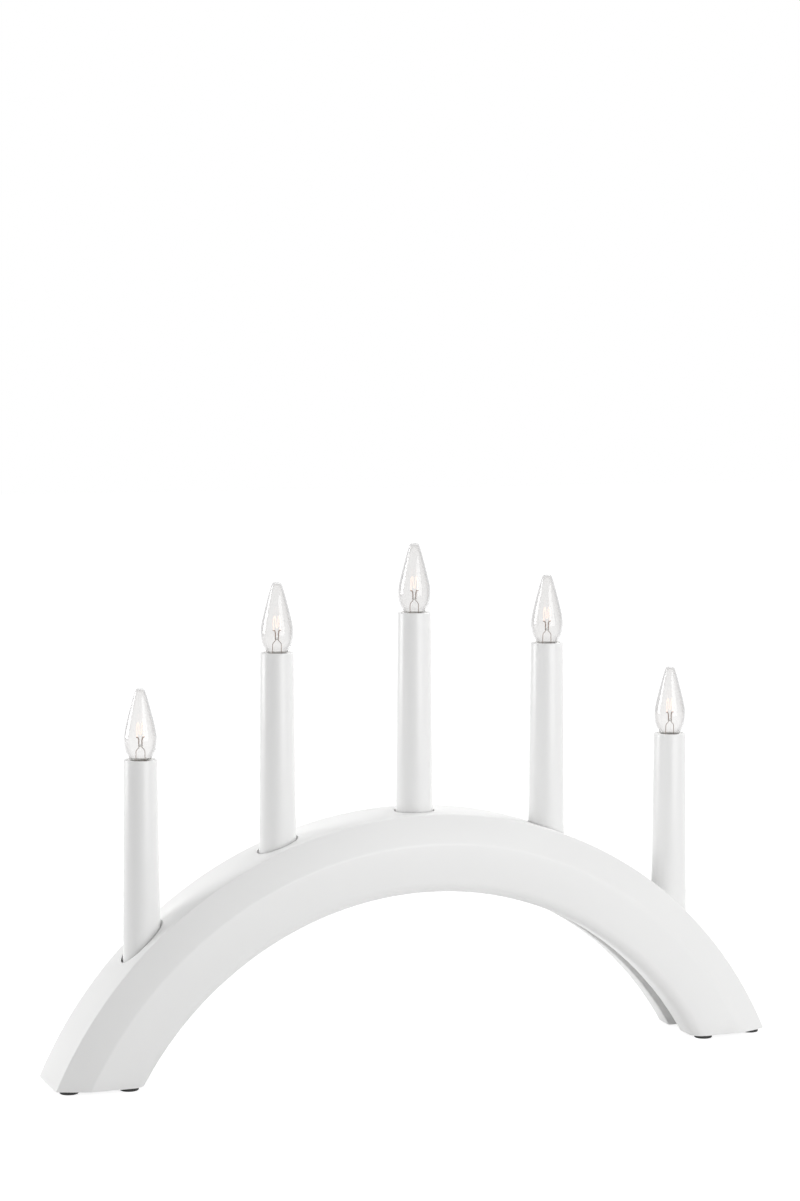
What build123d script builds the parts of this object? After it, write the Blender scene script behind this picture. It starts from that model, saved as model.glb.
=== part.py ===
from build123d import *
import os
from math import acos, atan2, ceil, cos, degrees, pi, radians, sin, sqrt, tan

# A wooden candle arch for the table, with five electric candles.
# Millimetres. +Z is up and the arch lies in the XZ plane, with its front towards -Y.
# The origin is the middle of the base, on the surface that the pads stand on.

# Arch: a bent band, cut flat at its feet
outer_radius = 202.5
band_width = 38.0
band_depth = 45.0
bevel_width = 14.0
bevel_setback = 6.0
inner_rounding = 6.0
groove_width = 13.0
groove_depth = 10.0

# Round pads under the feet
pad_diameter = 9.0
pad_thickness = 1.6
inner_pad_inset = 7.5
inner_pad_margin = 5.0
outer_pad_inset = 7.0
outer_pad_margin = 8.7

# How deep each candle stands below the top of the band
centre_seat_depth = 12.7
inner_seat_depth = 17.2
outer_seat_depth = 23.5
seat_diameter = 20.0

# Candle sleeve: a tapering tube with a spigot under its foot
sleeve_length = 110.0
sleeve_mouth_diameter = 16.0
sleeve_foot_diameter = 18.4
sleeve_wall = 1.4
mouth_edge = 0.5
spigot_diameter = 12.4
spigot_length = 8.0
spigot_clearance = 0.1

# Lamp holder, wedged in the taper of the sleeve, its screw shell and its spring tongue
holder_diameter = 13.0
holder_top_depth = 2.0
holder_floor_depth = 15.2
holder_floor_thickness = 3.0
shell_top_depth = 2.6
shell_foot_depth = 12.4
shell_wall = 0.4
shell_clearance = 0.1
shell_ledge = 1.0
thread_play = 0.1
terminal_offset = 2.4
lug_width = 2.4
lug_setback = 3.5
tongue_width = 3.0
tongue_thickness = 0.4
tongue_reach = 3.6
tongue_heel = 2.2
tongue_landing = 1.3
contact_gap = 0.05

# Bulb: its glass above the mouth of the sleeve, and its cap below it
glass_height = 33.6
belly_diameter = 15.8
neck_depth = 4.5
glass_wall = 0.5
glass_foot_thickness = 0.8
cap_diameter = 9.4
cap_wall = 0.3
cap_rim_depth = 1.5
cap_foot_depth = 10.5
insulator_plug = 1.0
insulator_depth = 12.2
insulator_foot_diameter = 4.4
tip_diameter = 3.2
tip_depth = 13.2
small_clearance = 0.05

# Leads and filament in the bulb
lead_diameter = 0.5
lead_offset = 2.2
lead_bend_height = 4.0
bead_height = 6.5
bead_thickness = 1.2
bead_diameter = 2.6
bead_end_diameter = 1.7
lead_pinch = 0.55
hook_height = 10.4
hook_offset = 1.55
filament_diameter = 0.4
filament_height = 16.6
lead_join_depth = 6.4
lead_turn_depth = 8.0

# Wires in the groove, staples and splices
wire_diameter = 2.0
wire_clearance = 0.1
wire_roof_gap = 0.3
wire_sag = 1.0
staple_bend = 20.0
staple_slack = 0.6
wire_bow = 1.0
wire_side_offset = 3.0
splice_diameter = 3.4
splice_length = 8.0
splice_grip = 4.4
staple_half_width = 5.0
staple_thickness = 1.0
staple_bite = 6.0
staple_clearance = 0.05
return_drop = 5.5
return_dip = 2.0
return_reach = 3.2

# One overrun for every cut
overrun = 2.0

# Flat sides given to the round sections of pieces that repeat, to keep them light
sleeve_sides = 20
glass_sides = 16
small_sides = 12
wire_sides = 6
lead_sides = 4
# Straight steps that make up each rounding of the band's inner edges
rounding_steps = 3

# How far the feet are cut below the arch's centre line, as a share of the outer radius
drop_share = 0.4059
# Places of the candles, as shares of the inner half span between the feet
candle_place_shares = (-0.972, -0.4948, 0.0, 0.4948, 0.972)
# The flame shape of the glass: shares of its height and of its belly's radius
glass_height_shares = (0.006, 0.068, 0.137, 0.238, 0.327, 0.485, 0.717, 0.923, 0.976, 1.0)
glass_radius_shares = (0.739, 0.768, 0.900, 1.000, 0.985, 0.855, 0.597, 0.318, 0.190, 0.070)
# The same for the points that its inside follows, one wall further in
inside_height_shares = (0.238, 0.327, 0.717, 0.923)
inside_radius_shares = (1.000, 0.985, 0.597, 0.318)
# The filament's arch: shares of its reach to the side and of its height above the hooks
filament_side_shares = (-1.0, -1.2, -0.5, 0.5, 1.2, 1.0)
filament_rise_shares = (0.0, 0.45, 1.0, 1.0, 0.45, 0.0)
# The share of the shorter run that an arc of a wire takes up
arc_share = 0.45
# The sharpest turn of a wire at one corner of its route, in degrees
largest_turn = 100.0
# Where the free ends of the wires stop in the left leg, as a share of the way from the candle to the foot
wire_end_share = 0.64
# Where the return wire turns into the left leg, as a share of the way from its last staple to that candle
leg_turn_share = 0.84

centre_drop = drop_share * outer_radius
centre_z = pad_thickness - centre_drop
inner_radius = outer_radius - band_width
roof_radius = inner_radius + groove_depth
half_angle = acos(centre_drop / outer_radius)
roof_foot_angle = acos(centre_drop / roof_radius)
outer_foot_x = sqrt(outer_radius**2 - centre_drop**2)
inner_foot_x = sqrt(inner_radius**2 - centre_drop**2)
seat_bore_radius = spigot_diameter / 2 + spigot_clearance
wire_radius = wire_diameter / 2
bend_radius = seat_bore_radius - terminal_offset
upwards = (Align.CENTER, Align.CENTER, Align.MIN)
candle_xs = [share * inner_foot_x for share in candle_place_shares]
seat_depths = (outer_seat_depth, inner_seat_depth, centre_seat_depth, inner_seat_depth, outer_seat_depth)


def ring_height(x, radius):
    """Height at x of a circle of this radius about the arch's centre."""
    return centre_z + sqrt(radius**2 - x**2)


def on_ring(angle, radius, y):
    """The point at this angle from the crown, on a circle of this radius about the arch's centre."""
    return Vector(radius * sin(angle), y, centre_z + radius * cos(angle))


seat_zs = [ring_height(x, outer_radius) - depth for x, depth in zip(candle_xs, seat_depths)]
mouth_zs = [z + sleeve_length for z in seat_zs]
candle_angles = [atan2(x, ring_height(x, roof_radius) - centre_z) for x in candle_xs]
staple_angles = [(a + b) / 2 for a, b in zip(candle_angles, candle_angles[1:])]


def to_corners(flat_radius, sides):
    """The corner radius of a section whose flat sides lie this far out."""
    return flat_radius / cos(pi / sides)


def to_flats(corner_radius, sides):
    """How far out the flat sides of a section of this corner radius lie."""
    return corner_radius * cos(pi / sides)


def band(lower, upper, sides):
    """One tapering band between two (height, corner radius) pairs, made from its wide end."""
    (low, low_radius), (high, high_radius) = lower, upper
    lean = degrees(atan2(to_flats(abs(low_radius - high_radius), sides), high - low))
    body = extrude(RegularPolygon(max(low_radius, high_radius), sides), amount=high - low, taper=lean)
    if low_radius >= high_radius:
        return Pos(0, 0, low) * body
    return Pos(0, 0, high) * Rot(180, 0, 0) * body


def turned(outline, sides):
    """A solid of bands one above another, through a list of (height, corner radius) pairs."""
    bands = [band(lower, upper, sides) for lower, upper in zip(outline, outline[1:])]
    return bands[0] + bands[1:]


def bent(points, section, x_dir=None):
    """A section carried along straight runs with mitred corners."""
    path = Polyline(*points)
    start = Plane(origin=path @ 0, x_dir=x_dir, z_dir=path % 0)
    return sweep(start * section, path, transition=Transition.RIGHT)


# Arch

def arch_section():
    """The band's section at the crown: two bevels above, a groove and two stepped roundings below."""
    half_depth, half_groove = band_depth / 2, groove_width / 2
    top, foot = centre_z + outer_radius, centre_z + inner_radius
    rounding_y, rounding_z = half_depth - inner_rounding, foot + inner_rounding
    turns = [pi / 2 * step / rounding_steps for step in range(rounding_steps + 1)]
    rounding = [(rounding_y + inner_rounding * cos(t), rounding_z - inner_rounding * sin(t)) for t in turns]
    half = [
        (half_depth - bevel_setback, top),
        (half_depth, top - bevel_width),
        *rounding,
        (half_groove, foot),
        (half_groove, foot + groove_depth),
    ]
    mirrored = [(-y, z) for y, z in reversed(half)]
    return make_face(Plane.YZ * Polyline(*half, *mirrored, close=True))


def candle_seat(x, seat_z):
    """The stepped bore for one candle: a wide seat from above and a narrow bore into the groove."""
    top = centre_z + outer_radius + overrun
    roof = ring_height(abs(x) + seat_bore_radius, roof_radius) - overrun
    seat = Cylinder(seat_diameter / 2, top - seat_z, align=upwards)
    bore = Cylinder(seat_bore_radius, seat_z - roof, align=upwards)
    return Pos(x, 0, seat_z) * seat + Pos(x, 0, roof) * bore


def staple(angle, play):
    """One staple across the groove, its crown below the wires, or with play the pocket of its legs."""
    crown_radius = roof_radius - wire_roof_gap - wire_diameter - staple_slack - staple_thickness
    thick = staple_thickness + 2 * play
    leg_length = roof_radius + staple_bite + play - crown_radius
    leg = Pos(0, 0, crown_radius) * Box(thick, thick, leg_length, align=upwards)
    legs = Pos(0, staple_half_width, 0) * leg + Pos(0, -staple_half_width, 0) * leg
    crown = Pos(0, 0, crown_radius) * Box(thick, 2 * staple_half_width, staple_thickness, align=upwards)
    return Pos(0, 0, centre_z) * Rot(0, degrees(angle), 0) * (legs + crown)


def arch():
    axis = Axis((0, 0, centre_z), (0, 1, 0))
    sweep_angle = 2 * half_angle + overrun / outer_radius
    section = arch_section().rotate(axis, -degrees(sweep_angle) / 2)
    ring = revolve(section, axis, degrees(sweep_angle))
    below = Box(
        4 * outer_radius, band_depth + overrun, outer_radius, align=(Align.CENTER, Align.CENTER, Align.MAX)
    )
    body = ring - Pos(0, 0, pad_thickness) * below
    body -= [candle_seat(x, z) for x, z in zip(candle_xs, seat_zs)]
    return body - [staple(angle, staple_clearance) for angle in staple_angles]


def foot_pads():
    outline = ((0, pad_diameter / 2), (pad_thickness, pad_diameter / 2))
    pad = turned(outline, small_sides)
    places = (
        (inner_foot_x + inner_pad_inset, band_depth / 2 - inner_pad_margin),
        (outer_foot_x - outer_pad_inset, band_depth / 2 - outer_pad_margin),
    )
    return [Pos(i * x, j * y, 0) * pad for x, y in places for i in (-1, 1) for j in (-1, 1)]


# Candle. Every function here puts the mouth of the sleeve at height zero.

def sleeve_cavity_radius(depth):
    """Corner radius of the sleeve's tapering inside, this far below its mouth."""
    growth = (sleeve_foot_diameter - sleeve_mouth_diameter) / 2 * depth / sleeve_length
    return sleeve_mouth_diameter / 2 - sleeve_wall + growth


def candle_sleeve():
    mouth_radius, foot_radius = sleeve_mouth_diameter / 2, sleeve_foot_diameter / 2
    spigot_foot = -sleeve_length - spigot_length
    tube = turned(
        ((-sleeve_length, foot_radius), (-mouth_edge, mouth_radius), (0, mouth_radius - mouth_edge)),
        sleeve_sides,
    )
    spigot_radius = spigot_diameter / 2
    spigot = turned(((spigot_foot, spigot_radius), (-sleeve_length, spigot_radius)), sleeve_sides)
    cavity_foot = sleeve_length - sleeve_wall
    cavity = turned(
        ((-cavity_foot, sleeve_cavity_radius(cavity_foot)), (overrun, sleeve_cavity_radius(-overrun))),
        sleeve_sides,
    )
    passage_radius = spigot_radius - sleeve_wall
    passage = turned(
        ((spigot_foot - overrun, passage_radius), (-cavity_foot + overrun, passage_radius)),
        sleeve_sides,
    )
    return tube + spigot - cavity - passage


def shell_radii():
    """Inner and outer corner radius of the screw shell, whose flats clear the cap by the thread's play."""
    inner = to_corners(cap_diameter / 2 + thread_play, small_sides)
    return inner, inner + shell_wall


def lamp_holder():
    underside = -holder_floor_depth - holder_floor_thickness
    bore_radius = shell_radii()[1] + shell_clearance
    body = turned(((underside, holder_diameter / 2), (-holder_top_depth, holder_diameter / 2)), small_sides)
    bore = turned(((-shell_foot_depth, bore_radius), (overrun, bore_radius)), small_sides)
    well_radius = bore_radius - shell_ledge
    well = turned(((-holder_floor_depth, well_radius), (0, well_radius)), small_sides)
    hole_radius = to_corners(wire_radius + wire_clearance, wire_sides)
    hole = turned(((underside - overrun, hole_radius), (0, hole_radius)), wire_sides)
    return body - bore - well - [Pos(i * terminal_offset, 0, 0) * hole for i in (-1, 1)]


def screw_shell():
    """The brass shell, with a solder lug that steps in over the ledge and down to the left wire."""
    inner, outer = shell_radii()
    tube = turned(((-shell_foot_depth, outer), (-shell_top_depth, outer)), small_sides)
    bore = turned(((-shell_foot_depth - overrun, inner), (0, inner)), small_sides)
    level, floor = -shell_foot_depth + shell_wall / 2, -holder_floor_depth + shell_wall / 2
    lug_points = (
        (-inner - shell_wall / 2, 0, level),
        (-lug_setback, 0, level),
        (-lug_setback, 0, floor),
        (-terminal_offset + wire_radius, 0, floor),
    )
    lug = bent(lug_points, Rectangle(shell_wall, lug_width), x_dir=(0, 0, 1))
    return tube - bore + lug


def contact_tongue():
    """The spring strip: its foot lies on the floor over the right wire, its end under the solder tip."""
    foot = -holder_floor_depth + tongue_thickness / 2
    landing = -tip_depth - contact_gap - tongue_thickness / 2
    points = (
        (tongue_reach, 0, foot),
        (tongue_heel, 0, foot),
        (tongue_landing, 0, landing),
        (-tongue_landing, 0, landing),
    )
    return bent(points, Rectangle(tongue_thickness, tongue_width), x_dir=(0, 0, 1))


def neck_radius():
    """The glass neck's corner radius, which clears the flat sides of the cap's bore."""
    return to_flats(cap_diameter / 2 - cap_wall, small_sides) - small_clearance


def flame_outline(height_shares, radius_shares):
    shares = zip(height_shares, radius_shares)
    return [(height * glass_height, radius * belly_diameter / 2) for height, radius in shares]


def bulb_glass():
    """The closed flame of clear glass, with a hole in the foot of its neck for each lead."""
    flame = flame_outline(glass_height_shares, glass_radius_shares)
    outer = [(-neck_depth, neck_radius()), (-cap_rim_depth, neck_radius()), *flame]
    floor = -neck_depth + glass_foot_thickness
    bore_radius = neck_radius() - glass_wall
    hollow = flame_outline(inside_height_shares, inside_radius_shares)
    inside = [(floor, bore_radius), (-cap_rim_depth, bore_radius)]
    inside += [(height, radius - glass_wall) for height, radius in hollow]
    hole_radius = to_corners(lead_diameter / 2 + small_clearance, lead_sides)
    hole = turned(((-neck_depth - overrun, hole_radius), (floor + overrun, hole_radius)), lead_sides)
    holes = [Pos(i * lead_offset, 0, 0) * hole for i in (-1, 1)]
    return turned(outer, glass_sides) - turned(inside, glass_sides) - holes


def bulb_cap():
    outline = ((-cap_foot_depth, cap_diameter / 2), (-cap_rim_depth, cap_diameter / 2))
    bore_radius = cap_diameter / 2 - cap_wall
    bore = ((-cap_foot_depth - overrun, bore_radius), (-cap_rim_depth + overrun, bore_radius))
    return turned(outline, small_sides) - turned(bore, small_sides)


def cap_insulator():
    """The glass plug that closes the cap and narrows towards the solder tip."""
    plug_radius = cap_diameter / 2 - cap_wall - small_clearance
    outline = (
        (-insulator_depth, insulator_foot_diameter / 2),
        (-cap_foot_depth, plug_radius),
        (-cap_foot_depth + insulator_plug, plug_radius),
    )
    hole_radius = to_corners(lead_diameter / 2 + small_clearance, lead_sides)
    hole = turned(((-insulator_depth - overrun, hole_radius), (0, hole_radius)), lead_sides)
    return turned(outline, small_sides) - hole


def solder_tip():
    radius, slope = tip_diameter / 2, (tip_depth - insulator_depth) / 2
    outline = ((-tip_depth, radius - slope), (-tip_depth + slope, radius), (-insulator_depth, radius))
    return turned(outline, small_sides)


def filament_mount():
    """Two leads held apart by a glass bead, one soldered to the cap and one to the tip, and the filament."""
    pinch_heights = (bead_height - bead_thickness / 2, bead_height + bead_thickness / 2)
    wall = cap_diameter / 2 - cap_wall - lead_diameter
    turn = neck_depth + glass_foot_thickness
    to_cap = [(wall, 0, -lead_join_depth), (lead_offset, 0, -turn)]
    to_tip = [(0, 0, -insulator_depth), (0, 0, -lead_turn_depth), (lead_offset, 0, -turn)]
    rise = [
        (lead_offset, 0, lead_bend_height),
        (lead_pinch, 0, pinch_heights[0]),
        (lead_pinch, 0, pinch_heights[1]),
        (hook_offset, 0, hook_height),
    ]
    wire = RegularPolygon(lead_diameter / 2, lead_sides)
    leads = Rot(0, 0, 180) * bent(to_cap + rise, wire) + bent(to_tip + rise, wire)
    bead = turned(
        (
            (pinch_heights[0], bead_end_diameter / 2),
            (bead_height, bead_diameter / 2),
            (pinch_heights[1], bead_end_diameter / 2),
        ),
        2 * lead_sides,
    )
    shares = zip(filament_side_shares, filament_rise_shares)
    rise_height = filament_height - hook_height
    arc = [(side * hook_offset, 0, hook_height + share * rise_height) for side, share in shares]
    return leads + bead + bent(arc, RegularPolygon(filament_diameter / 2, lead_sides))


# Wires

def arc_radii(points, largest):
    """The radius of each corner's arc: a share of its shorter run, and no more than the largest given."""
    radii = []
    for before, corner, after, most in zip(points, points[1:], points[2:], largest):
        half_turn = radians((corner - before).get_angle(after - corner)) / 2
        run = min((corner - before).length, (after - corner).length)
        fitting = arc_share * run / tan(half_turn)
        radii.append(min(fitting, most or fitting))
    return radii


def wire(name, route):
    """A wire along a route of (point, largest bend radius or None) pairs."""
    points = [Vector(point) for point, _ in route]
    radii = arc_radii(points, [most for _, most in route[1:-1]])
    path = FilletPolyline(*points, radius=radii)
    start = Plane(origin=path @ 0, z_dir=path % 0)
    solid = sweep(start * RegularPolygon(wire_radius, wire_sides), path)
    print(name, "arc radii", [round(radius, 1) for radius in radii], "length", round(path.length, 1))
    return solid


def drop(candle, side):
    """The route from a terminal of this candle's holder down to its bend round the rim of the bore."""
    x, top = candle_xs[candle], mouth_zs[candle] - holder_floor_depth
    edge = Vector(x + side * seat_bore_radius, 0, ring_height(x + side * seat_bore_radius, roof_radius))
    terminal = x + side * terminal_offset
    bow = (terminal + side * wire_bow, 0, (top + edge.Z) / 2)
    return edge, [((terminal, 0, top), None), (bow, None)]


def bend(candle, side):
    """The drop and the corners of its bend round the rim of the bore, one where it is slight, else two."""
    edge, route = drop(candle, side)
    slope = atan2(edge.X, edge.Z - centre_z)
    turn = acos(side * sin(slope))
    corners = ceil(degrees(turn) / largest_turn)
    part = turn / corners
    reach = bend_radius / cos(part / 2)
    for i in range(corners):
        angle = part * (i + 0.5)
        point = edge + Vector(-side * reach * cos(angle), 0, -reach * sin(angle))
        route.append((tuple(point), bend_radius))
    return route


def link_wire(candle):
    """From the right terminal of one candle to the left terminal of the next, under one staple."""
    run_radius = roof_radius - wire_roof_gap - wire_radius
    middle = (tuple(on_ring(staple_angles[candle], run_radius, wire_side_offset)), staple_bend)
    route = bend(candle, 1) + [middle] + bend(candle + 1, -1)[::-1]
    return wire(f"link_wire_{candle + 1}", route)


def between(start, end, share):
    """The angle that lies this share of the way from one angle to another."""
    return start + share * (end - start)


def leg_end(y):
    """Where a wire stops in the left leg, inside its splice."""
    angle = between(candle_angles[0], -roof_foot_angle, wire_end_share)
    return on_ring(angle, roof_radius - bend_radius, y)


def supply_route():
    return bend(0, -1) + [(tuple(leg_end(wire_side_offset)), None)]


def return_route():
    """From the right terminal of the last candle back through the whole groove to the left leg."""
    stapled = roof_radius - wire_roof_gap - wire_radius
    hanging = stapled - wire_sag
    last = len(candle_xs) - 1
    rim, _ = drop(last, -1)
    _, route = drop(last, 1)
    low = rim.Z - return_drop
    route.append(((candle_xs[last] + terminal_offset, 0, low), None))
    route.append(((candle_xs[last] - return_reach, -wire_side_offset, low - return_dip), None))
    for i in reversed(range(last)):
        route.append((tuple(on_ring(staple_angles[i], stapled, -wire_side_offset)), staple_bend))
        if i:
            route.append((tuple(on_ring(candle_angles[i], hanging, -wire_side_offset)), None))
    turn_angle = between(staple_angles[0], candle_angles[0], leg_turn_share)
    route.append((tuple(on_ring(turn_angle, hanging, -wire_side_offset)), None))
    return route + [(tuple(leg_end(-wire_side_offset)), None)]


def crimp_splice(route):
    """A crimped tube on the free end of a wire, half of it open for the core of a mains cord."""
    end, before = Vector(route[-1][0]), Vector(route[-2][0])
    along = (end - before).normalized()
    section = RegularPolygon(splice_diameter / 2, small_sides)
    section -= RegularPolygon(to_corners(wire_radius + small_clearance, small_sides), small_sides)
    start = Plane(origin=end - along * splice_grip, z_dir=along)
    return extrude(start * section, amount=splice_length)


def place_candles():
    """Every piece of the candles by node name, each candle at its mouth's height."""
    makers = {
        "candle_sleeve": candle_sleeve,
        "lamp_holder": lamp_holder,
        "screw_shell": screw_shell,
        "contact_tongue": contact_tongue,
        "bulb_glass": bulb_glass,
        "bulb_cap": bulb_cap,
        "cap_insulator": cap_insulator,
        "solder_tip": solder_tip,
        "filament_mount": filament_mount,
    }
    placed = {}
    for name, maker in makers.items():
        piece = maker()
        for number, (x, z) in enumerate(zip(candle_xs, mouth_zs), start=1):
            placed[f"{name}_{number}"] = Pos(x, 0, z) * piece
    return placed


parts = {"arch": arch(), "foot_pads": Compound(children=foot_pads())}
parts.update(place_candles())
for candle in range(len(candle_xs) - 1):
    parts[f"link_wire_{candle + 1}"] = link_wire(candle)
parts["supply_wire"] = wire("supply_wire", supply_route())
parts["return_wire"] = wire("return_wire", return_route())
parts["crimp_splices"] = Compound(children=[crimp_splice(supply_route()), crimp_splice(return_route())])
parts["wire_staples"] = Compound(children=[staple(angle, 0) for angle in staple_angles])

os.makedirs("parts", exist_ok=True)
for name, shape in parts.items():
    export_step(shape, f"parts/{name}.step")
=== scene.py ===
# %% [markdown]
# # A candle arch, dressed in Blender
# The object is a white wooden arch for a table or a window sill. Five white plastic tubes stand in it like
# candles, and each one holds a small clear bulb in the shape of a flame. The CAD model has every solid at
# its true size, but its round parts have flat sides to keep it light. This lesson puts smooth shapes and
# real finishes on it, one piece at a time.
#
# The first step loads the CAD model as a fixed frame. All that follows is in metres, in that same frame.

# %% Load the frame
import bmesh
import bpy
from math import acos, cos, pi, radians, sin
from mathutils import Matrix, Vector


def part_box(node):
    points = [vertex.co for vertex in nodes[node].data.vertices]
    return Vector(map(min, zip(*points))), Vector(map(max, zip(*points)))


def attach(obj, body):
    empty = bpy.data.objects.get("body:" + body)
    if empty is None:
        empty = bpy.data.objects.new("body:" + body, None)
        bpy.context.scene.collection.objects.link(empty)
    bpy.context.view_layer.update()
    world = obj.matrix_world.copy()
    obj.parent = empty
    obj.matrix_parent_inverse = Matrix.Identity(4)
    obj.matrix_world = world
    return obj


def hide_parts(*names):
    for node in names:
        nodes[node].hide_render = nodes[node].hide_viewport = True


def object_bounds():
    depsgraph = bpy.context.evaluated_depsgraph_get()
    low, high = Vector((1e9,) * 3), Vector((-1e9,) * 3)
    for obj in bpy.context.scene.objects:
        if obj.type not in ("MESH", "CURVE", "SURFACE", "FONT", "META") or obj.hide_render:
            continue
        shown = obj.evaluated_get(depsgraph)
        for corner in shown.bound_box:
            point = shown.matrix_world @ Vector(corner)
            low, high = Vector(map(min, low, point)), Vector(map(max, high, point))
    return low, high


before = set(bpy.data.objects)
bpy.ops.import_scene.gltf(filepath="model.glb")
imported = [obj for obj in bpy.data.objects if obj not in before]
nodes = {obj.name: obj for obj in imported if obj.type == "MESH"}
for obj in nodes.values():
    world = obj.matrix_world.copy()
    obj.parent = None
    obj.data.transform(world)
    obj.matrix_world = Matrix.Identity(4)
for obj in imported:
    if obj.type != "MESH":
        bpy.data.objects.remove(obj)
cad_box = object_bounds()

scene = bpy.context.scene
low_corner, high_corner = ([round(v, 4) for v in corner] for corner in cad_box)
print("CAD nodes:", len(nodes), "box from", low_corner, "to", high_corner)

# %% [markdown]
# ## The camera
# The photograph was taken from the left front, a little above the bulbs' middle, with a long lens. Matching
# the arch's outlines gave the camera's direction, distance and focal length. Other ways are to guess and
# nudge, or to match by eye over a background image. A fitted camera is worth the trouble, because every later
# comparison depends on it.

# %% Camera
PHOTO_HEIGHT = 1201
CAMERA_TURN = radians(20.656)
CAMERA_TILT = radians(4.734)
CAMERA_DISTANCE = 1.392
CAMERA_AIM = Vector((-0.00747, 0.0, 0.22507))
FOCAL_PIXELS = 2861.1
SENSOR = 36.0
CLIP_NEAR, CLIP_FAR = 0.05, 50.0

camera_data = bpy.data.cameras.new("camera")
camera_data.sensor_width = SENSOR
camera_data.lens = FOCAL_PIXELS * SENSOR / PHOTO_HEIGHT
camera = bpy.data.objects.new("camera", camera_data)
forward = Vector((
    sin(CAMERA_TURN) * cos(CAMERA_TILT), cos(CAMERA_TURN) * cos(CAMERA_TILT), -sin(CAMERA_TILT)
))
camera.location = CAMERA_AIM - forward * CAMERA_DISTANCE
camera.rotation_mode = "QUATERNION"
camera.rotation_quaternion = forward.to_track_quat("-Z", "Y")
camera_data.clip_start, camera_data.clip_end = CLIP_NEAR, CLIP_FAR
scene.collection.objects.link(camera)
scene.camera = camera
print("lens", round(camera_data.lens, 1), "mm")

# %% [markdown]
# ## Making a mesh with bmesh
# Most pieces here are turned shapes: tubes, caps, pads, the glass. On a lathe, such a piece starts as half of
# its outline. Here the outline is a face with numbered corners. Some of them are rounded with a bevel, then
# the face goes and its edges are spun once round. Modelling the same piece by hand from a cylinder would need
# many more steps, and its size would be hard to read from the code.

# %% Turned shapes
MM = 0.001
MERGE_DISTANCE = 1e-6  # metres: corners nearer than this become one


def outline_mesh(corners, roundings=None, segments=4):
    """A bmesh with one closed outline in the XZ plane, in millimetres. Roundings are corner: radius."""
    bm = bmesh.new()
    verts = [bm.verts.new((x * MM, 0, z * MM)) for x, z in corners]
    bm.faces.new(verts)
    for index, radius in (roundings or {}).items():
        bmesh.ops.bevel(
            bm, geom=[verts[index]], offset=radius * MM, affect="VERTICES", segments=segments, profile=0.5,
            material=-1, clamp_overlap=True,
        )
    bmesh.ops.delete(bm, geom=list(bm.faces), context="FACES_ONLY")
    return bm


def spin_round(bm, steps):
    """Spins all edges once round the Z axis."""
    geom = list(bm.verts) + list(bm.edges)
    bmesh.ops.spin(
        bm, geom=geom, cent=(0, 0, 0), axis=(0, 0, 1), angle=2 * pi, steps=steps, use_merge=True
    )
    return bm


def close_mesh(bm):
    """Merges doubles, as at the poles, deletes the bare edge on the axis and turns every face outwards."""
    bmesh.ops.remove_doubles(bm, verts=list(bm.verts), dist=MERGE_DISTANCE)
    bmesh.ops.delete(bm, geom=[edge for edge in bm.edges if edge.is_wire], context="EDGES")
    bmesh.ops.recalc_face_normals(bm, faces=list(bm.faces))
    return bm


def turned(corners, steps, roundings=None):
    """A closed turned shape from half of its outline."""
    return close_mesh(spin_round(outline_mesh(corners, roundings), steps))


def join(bm, other):
    """Adds a second bmesh to the first and frees it."""
    mesh = bpy.data.meshes.new("joined")
    other.to_mesh(mesh)
    other.free()
    bm.from_mesh(mesh)
    bpy.data.meshes.remove(mesh)


disc = turned([(0, 0), (10, 0), (10, 2), (0, 2)], 32)
print("a plain turned disc has", len(disc.faces), "faces and", round(disc.calc_volume() / MM**3), "mm3")
disc.free()

# %% [markdown]
# ## From mesh to piece
# A piece keeps its place in its mesh, and its object stays at the origin, as with the CAD nodes. It is shaded
# smooth, but an edge that turns sharply stays an edge. Then it gets a finish and the body that it moves
# with, and the CAD nodes that it stands for are hidden.

# %% Pieces
SHARP_DEGREES = 32
SHARP_ANGLE = radians(SHARP_DEGREES)


def shade_smooth(bm, sharp=SHARP_ANGLE):
    """Smooth shading, broken at the edges that turn by more than the sharp angle."""
    for face in bm.faces:
        face.smooth = True
    for edge in bm.edges:
        edge.smooth = not (edge.is_manifold and edge.calc_face_angle() > sharp)


def add_piece(bm, name, place=(0, 0, 0), sharp=SHARP_ANGLE):
    """Moves the mesh itself to its place, shades it and adds it to the scene as a piece."""
    bmesh.ops.translate(bm, verts=list(bm.verts), vec=place)
    shade_smooth(bm, sharp)
    mesh = bpy.data.meshes.new(name)
    bm.to_mesh(mesh)
    bm.free()
    piece = bpy.data.objects.new(name, mesh)
    scene.collection.objects.link(piece)
    return piece


def dress(piece, material, body, slot, *replaced):
    """Gives a piece its finish, the body it rides on and the CAD nodes it stands for, which it hides. The
    slot is not used.
    """
    piece.data.materials.clear()
    piece.data.materials.append(material)
    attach(piece, body)
    if replaced:
        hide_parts(*replaced)
    return piece


print("edges that turn by more than", SHARP_DEGREES, "degrees stay sharp")

# %% [markdown]
# ## Where the candles stand
# Each sleeve in the CAD model gives its own axis and the height of its mouth. Every piece of a candle is made
# with the mouth at zero and then moved to its place.

# %% Places of the candles
CANDLES = range(1, 6)
mouths = {}
for n in CANDLES:
    low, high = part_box(f"candle_sleeve_{n}")
    mouths[n] = Vector(((low.x + high.x) / 2, (low.y + high.y) / 2, high.z))
print("mouths", {n: [round(v / MM, 1) for v in mouths[n]] for n in CANDLES})


def at_each_candle(make, base_name, material, body, slot, node, **options):
    """Makes one piece for each candle and dresses it. A {} in the body is the candle's number."""
    made = []
    for n in CANDLES:
        piece = add_piece(make(), f"{base_name}_{n}", mouths[n], **options)
        replaced = [f"{node}_{n}"] if node else []
        made.append(dress(piece, material, body.format(n), slot, *replaced))
    print(base_name, len(made), "pieces of", len(made[0].data.polygons), "faces")
    return made


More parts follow.
